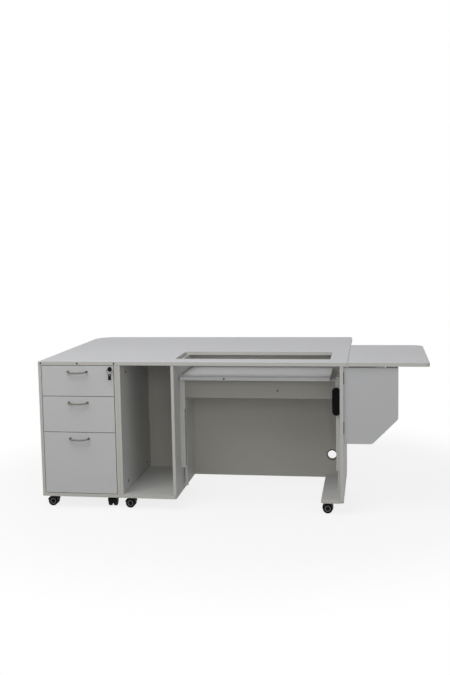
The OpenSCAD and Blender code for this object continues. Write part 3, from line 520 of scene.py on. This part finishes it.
front_white = melamine("front_melamine", FRONT_WHITE, shaded_rims, band_or_shade_color=GAP_SHADE_GREY)
for drawer in DRAWERS:
    board(f"{drawer}_drawer_front", FACING, (0, 0, 0, 0), front_white)
dress(melamine("drawer_box_melamine", BOX_WHITE), *(f"{drawer}_drawer_box" for drawer in DRAWERS))
nickel = metal("satin_nickel", NICKEL, 0.48, 900.0, (0.08, 1.0, 1.0))
for drawer in DRAWERS:
    low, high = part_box(f"{drawer}_drawer_handle")
    centre = ((low.x + high.x) / 2, carcass_front, high.z - FOOT_R)
    feet = [revolved([(PIP, 0), (FOOT_R, 0), (FOOT_R, FOOT_H), (PIP, FOOT_H)],
                     (0, 0.0003, 0.0018, 0),
                     (centre[0] + side * HANDLE_SPAN / 2, centre[1], centre[2]), FACING, True)
            for side in (-1, 1)]
    stand_in(f"{drawer}_bow_handle",
             [bar(handle_path(centre), (0.0, math.sin(HANDLE_DROOP), -math.cos(HANDLE_DROOP)),
                  HANDLE_R), *feet], nickel, f"{drawer}_drawer_handle")
zinc = metal("bright_zinc", ZINC, 0.30, 300.0, (1.0, 0.1, 1.0))
dress(zinc, "cabinet_rails", *(f"{drawer}_drawer_rails" for drawer in DRAWERS))

# ---- Lock and keys ------------------------------------------------------------------------
# A cam lock with a black collar in the top front. Its key has a moulded black head, and a
# second key hangs on a wire ring round the first one's neck.

KEY_BLACK = (0.008, 0.008, 0.009)
RUBBED_GREY = (0.10, 0.098, 0.095)
PAINTED_HIGHLIGHT_GREY = (0.35, 0.35, 0.34)
LOCK_R, LOCK_BODY_R, LOCK_BORE_R, COLLAR_T, LOCK_DEEP = 0.012, 0.008, 0.00505, 0.003, 0.024
BLADE_TOP, GRAIN_DEPTH = 0.686, 0.00005


def plastic(name, color, rough, wear=0.0, specular=0.08, ring=None, steel=None):
    """Moulded plastic: a fine spark-eroded grain, faint cloudiness and rubbed patches, a painted
    highlight as a paler ring between two of the radii kept at the points, and bare steel where
    steel is 1."""
    f = Finish(name)
    cloud = f.noise(40.0, 3.0)
    skin = f.noise(700.0, 2.0)
    base = f.blend(cloud * 0.35, color, tuple(min(1.0, c * 1.9 + 0.004) for c in color))
    if wear:
        rubbed = f.ramp(f.noise(110.0, 5.0, 0.7), 0.55, 0.78)
        base = f.blend(rubbed * wear, base, RUBBED_GREY)
    # Painted highlight: the pale ring on a wheel's dished face.
    if ring:
        reach = f.node("ShaderNodeAttribute", {"attribute_name": "reach"}, output="Fac")
        base = f.blend(f.between(reach, *ring), base, PAINTED_HIGHLIGHT_GREY)
    bare = steel(f) if steel else 0.0
    if steel:
        base = f.blend(bare, base, ZINC)
    return f.finished(base, rough + cloud * 0.12 - bare * 0.25, metallic=bare,
                      normal=f.bump(skin, GRAIN_DEPTH), specular=specular)


lock_low, lock_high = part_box("lock_barrel")
lock_at = ((lock_low.x + lock_high.x) / 2, carcass_front, (lock_low.z + lock_high.z) / 2)
stand_in("cam_lock", [revolved(
    [(LOCK_BORE_R, -LOCK_DEEP), (LOCK_BODY_R, -LOCK_DEEP), (LOCK_BODY_R, 0), (LOCK_R, 0),
     (LOCK_R, COLLAR_T), (LOCK_BORE_R, COLLAR_T)],
    (0.0003, 0.0003, 0.0002, 0.0003, 0.0016, 0.0008), lock_at, FACING)],
    plastic("black_lock", KEY_BLACK, 0.60), "lock_barrel")
dress(plastic("key_plastic", KEY_BLACK, 0.50, steel=lambda f: f.y > carcass_front), "key")
dress(plastic("spare_key_plastic", KEY_BLACK, 0.50, steel=lambda f: f.z < BLADE_TOP),
      "spare_key")

# ---- Cable grommet ------------------------------------------------------------------------
# A round liner in dark bronze, pressed into the hole low in the back panel, its rim polished
# by use.

BRONZE = (0.075, 0.066, 0.056)
GROMMET_R, GROMMET_BORE_R, GROMMET_WALL, FLANGE_T = 0.030, 0.024, 0.002, 0.003
panel_low, panel_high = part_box("back_panel")
grommet_low, grommet_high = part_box("cable_grommet")
through = panel_low.y - panel_high.y
stand_in("bronze_grommet", [revolved(
    [(GROMMET_BORE_R, through), (GROMMET_BORE_R + GROMMET_WALL, through),
     (GROMMET_BORE_R + GROMMET_WALL, 0), (GROMMET_R, 0), (GROMMET_R, FLANGE_T),
     (GROMMET_BORE_R, FLANGE_T)],
    (0.0003, 0.0003, 0.0002, 0.0003, 0.0024, 0.0012),
    ((grommet_low.x + grommet_high.x) / 2, panel_low.y, (grommet_low.z + grommet_high.z) / 2),
    FACING)],
    metal("dark_bronze", BRONZE, 0.30, 260.0, EVEN), "cable_grommet")

# ---- Lift ---------------------------------------------------------------------------------
# Steel channels and carriages in pale powder coat, which carry a melamine platform and the
# rail under it, a darker grey board whose grey also paints in the shade under the platform. A
# black moulded lever with a dished face on the right carriage frees the lift.

PLATFORM_WHITE = (0.62, 0.62, 0.63)
# The rail's grey is darker than the other boards; part of that is painted shade from the
# platform.
RAIL_SHADED_GREY = (0.335, 0.325, 0.297)
COAT_GREY = (0.56, 0.555, 0.54)
DUST_GREY = (0.36, 0.35, 0.33)
KNOB_BLACK = (0.03, 0.029, 0.027)
LEVER_BLACK = (0.005, 0.005, 0.006)
PLATFORM_CORNER, NOTCH_W, NOTCH_FRONT, NOTCH_BACK = 0.004, 0.0182, 0.0328, 0.0952
KNOB_RIGHT, KNOB_RISE, KNOB_R, HOLE_SHARE = 0.096, 0.041, 0.006, 0.3
LEVER_W, LEVER_H, LEVER_T, LEVER_SOFT = 0.042, 0.145, 0.010, 0.0035
LEVER_DISH = ((0.0015, 0.0, 0.0), (0.003, 0.0002, 0.18), (0.0055, 0.0009, 0.22),
              (0.0085, 0.0013, 0.06), (0.011, 0.00135, 0.0))
TONGUE_W, TONGUE_CORNER, EAR_R, PIVOT_UNDER, SHY = 0.0102, 0.001, 0.006, 0.057, 1e-5


def powder_coat(name, color, knob):
    """Powder coat on steel: a soft orange-peel gloss with slight dust in the recesses. The
    rail's knob, all that lies within KNOB_R of a line along y, is black."""
    f = Finish(name)
    cloud = f.noise(6.0, 3.0)
    dust = f.ramp(f.noise(55.0, 5.0, 0.7), 0.5, 0.8)
    base = f.blend(cloud * 0.12 + dust * 0.08, color, DUST_GREY)
    base = f.blend((abs(f.x - knob[0]) < KNOB_R) * (abs(f.z - knob[1]) < KNOB_R), base,
                   KNOB_BLACK)
    return f.finished(base, 0.34 + dust * 0.2, normal=f.bump(f.noise(900.0, 2.0), 0.00006))


platform_low, platform_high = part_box("lift_platform")
# The platform's hole, painted on its front edge as a dark disc of painted shade.
platform_hole = (platform_low.x + HOLE_SHARE * (platform_high.x - platform_low.x),
                 platform_low.y, (platform_low.z + platform_high.z) / 2)


def platform_edges(f):
    """The rim of the platform, all between its faces, and the hairline under the upper one."""
    upper = platform_high.z - HAIRLINE
    return (f.between(f.z, platform_low.z + HAIRLINE, upper),
            f.between(f.z, platform_high.z - 3 * HAIRLINE, upper) * 0.5)


left, front = platform_low.x, platform_low.y
notched = rounded(
    [(left, front), (platform_high.x, front), (platform_high.x, platform_high.y),
     (left, platform_high.y), (left, front + NOTCH_BACK), (left + NOTCH_W, front + NOTCH_BACK),
     (left + NOTCH_W, front + NOTCH_FRONT), (left, front + NOTCH_FRONT)],
    (*(PLATFORM_CORNER,) * 4, *(SHARP,) * 4))
stand_in("machine_platform", [slab([notched], platform_low.z, platform_high.z, FLAT)],
         melamine("platform_melamine", PLATFORM_WHITE, platform_edges, holes=[platform_hole],
                  band_or_shade_color=PLATFORM_WHITE),
         "lift_platform")
# The rail's darker grey is partly painted shade.
dress(melamine("rail_melamine", RAIL_SHADED_GREY), "lift_rail")
rail_low, rail_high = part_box("lift_rail")
dress(powder_coat("lift_coat", COAT_GREY,
                  ((rail_low.x + rail_high.x) / 2 + KNOB_RIGHT, rail_low.z + KNOB_RISE)),
      "lift_tracks", "lift_carriages")

lever_low, lever_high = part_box("release_lever")
pivot_z = platform_low.z - PIVOT_UNDER
blade = rounded([(lever_low.x, lever_high.z - LEVER_H), (lever_high.x, lever_high.z - LEVER_H),
                 (lever_high.x, lever_high.z), (lever_low.x, lever_high.z)],
                LEVER_W / 2 - SHY, steps=17)
tongue_y = lever_low.y + LEVER_T / 2
tongue = rounded([(tongue_y, pivot_z - EAR_R), (lever_high.y, pivot_z - EAR_R),
                  (lever_high.y, pivot_z + EAR_R), (tongue_y, pivot_z + EAR_R)],
                 (TONGUE_CORNER, EAR_R - SHY, EAR_R - SHY, TONGUE_CORNER))
tongue_x = (lever_low.x + lever_high.x) / 2
stand_in("lever_handle", [
    slab([blade], -lever_low.y - LEVER_T, -lever_low.y, FACING, soft=LEVER_SOFT, steps=7,
         dish=[(LEVER_SOFT + more, sunk, slope) for more, sunk, slope in LEVER_DISH]),
    slab([tongue], tongue_x - TONGUE_W / 2, tongue_x + TONGUE_W / 2, UPRIGHT, soft=0.0005)],
    plastic("lever_plastic", LEVER_BLACK, 0.48, specular=0.05), "release_lever")

# ---- Swing brackets and hinges ------------------------------------------------------------
# Boards that swing out on black knuckled steel hinges and carry the leaves. Zinc drop-leaf
# hinges and pads are screwed under the tops, with dark grey strips of painted shade beside the
# pads, for the shade in the gap between bracket and leaf.

BRACKET_WHITE = (0.515, 0.517, 0.525)
DULL_ZINC = (0.22, 0.22, 0.22)
# Painted shade: the strips' dark grey stands in for the shade in the gap under the leaves.
SHADE_STRIP_GREY = (0.20, 0.20, 0.19)
BRACKET_T, BRACKET_GRIME, PAD_L = 0.016, 0.1, 0.046
SHADE_STRIP_W, SHADE_STRIP_END, SHADE_STRIP_GAP, SHADE_STRIP_CORNER, SHADE_STRIP_SOFT = 0.010, 0.002, 0.0006, 0.002, 0.0006
SIDE_PAD, REAR_PAD = 0.68, 0.75
HINGE_DROP, HINGE_RISE, HINGE_H = 0.057, 0.077, 0.058
FACE_PAST_PIN, KNUCKLE_REACH = 0.0005, 0.0033
joints = {joint["name"]: joint for joint in frame["joints"]}


def hinge_halves(bracket, across, side):
    """Where a bracket's own hinge halves are: at the heights of its two hinges, all that is
    past the board's face, seen from the pin, or nearer to the pin than a knuckle reaches."""
    pin = joints[bracket + "_hinge"]["pos_m"]
    low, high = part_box(bracket)

    def mask(f):
        past = ((f.x, f.y)[across] - pin[across]) * side > FACE_PAST_PIN
        off = (f.x - pin[0]) * (f.x - pin[0]) + (f.y - pin[1]) * (f.y - pin[1])
        level = (abs(f.z - (high.z - HINGE_DROP)) < HINGE_H / 2) \
            + (abs(f.z - (low.z + HINGE_RISE)) < HINGE_H / 2)
        return level * past.math("MAXIMUM", past, off < KNUCKLE_REACH ** 2)

    return mask


for bracket, across, side in (("side_bracket", 1, 1.0), ("rear_left_bracket", 0, 1.0),
                              ("rear_right_bracket", 0, -1.0)):
    dress(melamine(bracket + "_melamine", BRACKET_WHITE, grime=BRACKET_GRIME,
                   steel=hinge_halves(bracket, across, side)), bracket)
dress(metal("black_steel", HINGE_BLACK, 0.45, 300.0, (1.0, 1.0, 0.1)), "bracket_hinges")
dress(metal("dull_zinc", DULL_ZINC, 0.5, 300.0, EVEN), "leaf_fittings")


def shade_strips(bracket, leaf, along, side, pad):
    """Two dark strips of painted shade under a leaf, above a swung-out bracket, on either side of
    the zinc pad, for the shade in the gap between them. The bracket lies along x (0) or y (1),
    and pad is the share of its length where the pad is."""
    low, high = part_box(bracket)
    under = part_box(leaf)[0]
    across = low[1 - along] + BRACKET_T / 2 if side > 0 else high[1 - along] - BRACKET_T / 2
    pad_at = low[along] + pad * (high[along] - low[along])
    for start, end in ((under[along] + SHADE_STRIP_END, pad_at - PAD_L / 2 - SHADE_STRIP_END),
                       (pad_at + PAD_L / 2 + SHADE_STRIP_END, high[along] - SHADE_STRIP_END)):
        near, far = (np.roll((x, across + y), along) for x, y in
                     ((start, -SHADE_STRIP_W / 2), (end, SHADE_STRIP_W / 2)))
        (x0, y0), (x1, y1) = np.minimum(near, far), np.maximum(near, far)
        yield slab([rounded([(x0, y0), (x1, y0), (x1, y1), (x0, y1)], SHADE_STRIP_CORNER)],
                   high.z + SHADE_STRIP_GAP, under.z, FLAT, soft=SHADE_STRIP_SOFT)


# Dark strips of painted shade in the gap between brackets and leaves.
stand_in("leaf_shade_strips", [*shade_strips("side_bracket", "side_leaf", 0, 1, SIDE_PAD),
                         *shade_strips("rear_left_bracket", "rear_leaf", 1, 1, REAR_PAD),
                         *shade_strips("rear_right_bracket", "rear_leaf", 1, -1, REAR_PAD)],
         plastic("shade_strip_plastic", SHADE_STRIP_GREY, 0.6), "leaf_fittings", beside=True)

# ---- Castors ------------------------------------------------------------------------------
# Black twin-wheel castors: a steel plate under the board, a moulded hood that swivels in it,
# and two dished wheels with rounded treads on one axle, with a painted highlight ring on each
# wheel's face.

CASTORS = range(1, 9)
HOOD_BLACK = (0.008, 0.008, 0.008)
TREAD_BLACK = (0.009, 0.009, 0.009)
PLATE_BLACK = (0.035, 0.034, 0.034)
WHEEL_R, WHEEL_IN, WHEEL_OUT, TREAD_R, AXLE_R = 0.025, 0.0052, 0.0222, 0.004, 0.003
HUB_R, DISH_R, DISH_T, HIGHLIGHT_IN, HIGHLIGHT_OUT = 0.009, 0.020, 0.003, 0.0120, 0.0142
OVERLAP, FEW = 0.001, 24
HOOD_R, HOOD_T, HOOD_HALF, WEB_T, WEB_CUT = 0.0265, 0.0025, 0.0232, 0.008, 0.008
HOOD_SOFT, WEB_SOFT, WEB_POINTS = 0.001, 0.0008, 72
HOOD_FROM, HOOD_TO = math.radians(15.0), math.radians(165.0)
BOSS_R, STEM_R, BOSS_LOW, BOSS_TOP, STEM_TOP = 0.009, 0.004, 0.0504, 0.0551, 0.0619


def hood_band():
    """Section of the hood: an arc of middle radius m grown by half its thickness to all sides,
    so its ends are half circles. point = m (cos a, sin a) + half (cos b, sin b)."""
    middle, half = HOOD_R + HOOD_T / 2, HOOD_T / 2
    out = np.linspace(HOOD_FROM, HOOD_TO, 49)
    end = np.linspace(0.0, np.pi, 9)[1:-1]
    along = np.concatenate([out, 0 * end + HOOD_TO, out[::-1], 0 * end + HOOD_FROM])
    facing = np.concatenate([out, HOOD_TO + end, out[::-1] + np.pi, HOOD_FROM + np.pi + end])
    facing = np.stack([np.cos(facing), np.sin(facing)], 1)
    return middle * np.stack([np.cos(along), np.sin(along)], 1) + half * facing, facing


def web_disc():
    """Section of the web: a circle of the hood's middle radius, cut flat under the axle."""
    angle = np.arange(WEB_POINTS) * 2 * np.pi / WEB_POINTS
    facing = np.stack([np.cos(angle), np.sin(angle)], 1)
    points = facing * (HOOD_R + HOOD_T / 2)
    flat = points[:, 1] < -WEB_CUT
    points[:, 1] = np.maximum(points[:, 1], -WEB_CUT)
    return points, np.where(flat[:, None], (0.0, -1.0), facing)


hood_black = plastic("castor_hood", HOOD_BLACK, 0.36, specular=0.12)
# Each wheel's face carries a pale ring that is a painted highlight.
wheel_black = plastic("castor_tread", TREAD_BLACK, 0.45, wear=0.12, ring=(HIGHLIGHT_IN, HIGHLIGHT_OUT))
for i in CASTORS:
    swivel, roll = (np.array(joints[f"castor_{i}_{kind}"]["pos_m"])
                    for kind in ("swivel", "roll"))
    ahead = (roll - swivel) * (1, 1, 0)
    ahead /= np.linalg.norm(ahead)
    axle = np.cross(ahead, (0, 0, 1))
    beside = np.array([ahead, (0, 0, 1), axle])
    on_top = np.array([ahead, np.cross((0, 0, 1), ahead), (0, 0, 1)])
    band, web = hood_band(), web_disc()
    shells = []
    for (section, facing), half, soft in ((band, HOOD_HALF, HOOD_SOFT),
                                          (web, WEB_T / 2, WEB_SOFT)):
        points, normals, blocks = slab([(section, facing)], -half, half, beside, soft=soft)
        shells.append((points + roll, normals, blocks))
    foot = swivel * (1, 1, 0)
    shells += [revolved([(PIP, BOSS_LOW), (BOSS_R, BOSS_LOW), (BOSS_R, BOSS_TOP),
                         (PIP, BOSS_TOP)], (0, 0.0008, 0.0012, 0), foot, on_top, True),
               revolved([(PIP, BOSS_TOP - OVERLAP), (STEM_R, BOSS_TOP - OVERLAP),
                         (STEM_R, STEM_TOP), (PIP, STEM_TOP)], (0, 0.0002, 0.0008, 0), foot,
                        on_top, True, FEW)]
    stand_in(f"castor_hood_{i}", shells, hood_black, f"castor_fork_{i}")

    wheels = [revolved(
        [(PIP, WHEEL_IN), (WHEEL_R, WHEEL_IN), (WHEEL_R, WHEEL_OUT), (DISH_R, WHEEL_OUT),
         (DISH_R - 0.001, WHEEL_OUT - DISH_T), (HUB_R, WHEEL_OUT - DISH_T),
         (HUB_R - 0.0005, WHEEL_OUT), (PIP, WHEEL_OUT)],
        (0, TREAD_R, TREAD_R, 0.0006, 0.0014, 0.0014, 0.0008, 0), roll,
        beside * np.array([[side], [1], [side]]), True) for side in (-1, 1)]
    wheels.append(revolved([(PIP, -WHEEL_IN - OVERLAP), (AXLE_R, -WHEEL_IN - OVERLAP),
                            (AXLE_R, WHEEL_IN + OVERLAP), (PIP, WHEEL_IN + OVERLAP)],
                           (0, 0.0002, 0.0002, 0), roll, beside, True, FEW))
    reach = np.linalg.norm(
        np.cross(np.concatenate([points for points, _, _ in wheels]) - roll, axle), axis=1)
    stand_in(f"castor_pair_{i}", wheels, wheel_black, f"castor_wheels_{i}", reach=reach)
dress(metal("castor_plate_black", PLATE_BLACK, 0.40, 300.0, EVEN), "castor_plates")

# ---- Floor and light ----------------------------------------------------------------------
# A floor that is white to the camera and keeps the cabinet's soft shadow, a large soft lamp
# above and in front, weaker ones to the right, in front and behind, and an even light from all
# round.

FLOOR_HALF, FLOOR_CLEAR, FLOOR_FADE, FLOOR_GLOW = 14.0, 1.2, 2.0, 0.82
FLOOR_WHITE = (0.92, 0.92, 0.92)
FLOOR_BOUNCE = (0.45, 0.45, 0.45)
floor_mesh = bpy.data.meshes.new("floor")
floor_mesh.from_pydata([(x * FLOOR_HALF, y * FLOOR_HALF, 0.0) for x, y in
                        ((-1, -1), (1, -1), (1, 1), (-1, 1))], [], [(0, 1, 2, 3)])
floor = bpy.data.objects.new("floor", floor_mesh)
bpy.context.scene.collection.objects.link(floor)
f = Finish("floor_white")
rays = f.node("ShaderNodeLightPath").out.node
direct = Value(f, rays.outputs["Is Camera Ray"])
for kind in ("Is Glossy Ray", "Is Transmission Ray"):
    direct = direct.math("MAXIMUM", direct, Value(f, rays.outputs[kind]))
white = f.node("ShaderNodeEmission", None, Color=(1, 1, 1), Strength=1.0)
shaded = f.node("ShaderNodeBsdfDiffuse", None, Color=FLOOR_WHITE)
bounce = f.node("ShaderNodeBsdfDiffuse", None, Color=FLOOR_BOUNCE)
far = f.ramp(f.away((0.0, 0.0, 0.0)), FLOOR_CLEAR, FLOOR_FADE)
seen = f.node("ShaderNodeMixShader", None, far * (1.0 - FLOOR_GLOW) + FLOOR_GLOW, shaded,
              white)
end = f.tree.nodes.new("ShaderNodeOutputMaterial")
f.tree.links.new(f.node("ShaderNodeMixShader", None, direct, bounce, seen).out,
                 end.inputs["Surface"])
floor_mesh.materials.append(f.material)

WORLD_LEVEL = 0.34
world = bpy.data.worlds.new("studio")
world.use_nodes = True
bpy.context.scene.world = world
sky = world.node_tree
sky.nodes.clear()
rays = sky.nodes.new("ShaderNodeLightPath")
direct = rays.outputs["Is Camera Ray"]
for kind in ("Is Glossy Ray", "Is Transmission Ray"):
    most = sky.nodes.new("ShaderNodeMath")
    most.operation = "MAXIMUM"
    sky.links.new(direct, most.inputs[0])
    sky.links.new(rays.outputs[kind], most.inputs[1])
    direct = most.outputs[0]
strength = sky.nodes.new("ShaderNodeMapRange")
strength.inputs["To Min"].default_value = WORLD_LEVEL
strength.inputs["To Max"].default_value = 1.0
sky.links.new(direct, strength.inputs["Value"])
shine = sky.nodes.new("ShaderNodeBackground")
shine.inputs["Color"].default_value = (1.0, 1.0, 1.0, 1.0)
sky.links.new(strength.outputs[0], shine.inputs["Strength"])
sky.links.new(shine.outputs[0], sky.nodes.new("ShaderNodeOutputWorld").inputs["Surface"])


def lamp(name, place, target, size, power, gloss=True):
    """A square soft lamp that faces its target and isn't seen itself, nor in a reflection
    where gloss is off."""
    light = bpy.data.lights.new(name, "AREA")
    light.size, light.energy = size, power
    made = bpy.data.objects.new(name, light)
    made.location = place
    made.visible_camera, made.visible_glossy = False, gloss
    toward = np.array(target) - np.array(place)
    made.rotation_euler = (math.atan2(math.hypot(*toward[:2]), -toward[2]), 0.0,
                           math.atan2(-toward[0], toward[1]))
    bpy.context.scene.collection.objects.link(made)


lamp("overhead", (-1.2, -2.2, 3.3), (0.0, 0.1, 0.5), 2.6, 57.0)
lamp("right_fill", (3.2, -3.2, 1.3), (0.0, 0.0, 0.4), 2.2, 17.0)
lamp("front_fill", (0.5, -5.2, 1.7), (0.0, 0.0, 0.4), 1.6, 30.0)
lamp("back_fill", (-0.8, 4.8, 1.9), (0.0, 0.0, 0.4), 2.2, 60.0, gloss=False)

bpy.context.scene.view_settings.view_transform = "Standard"
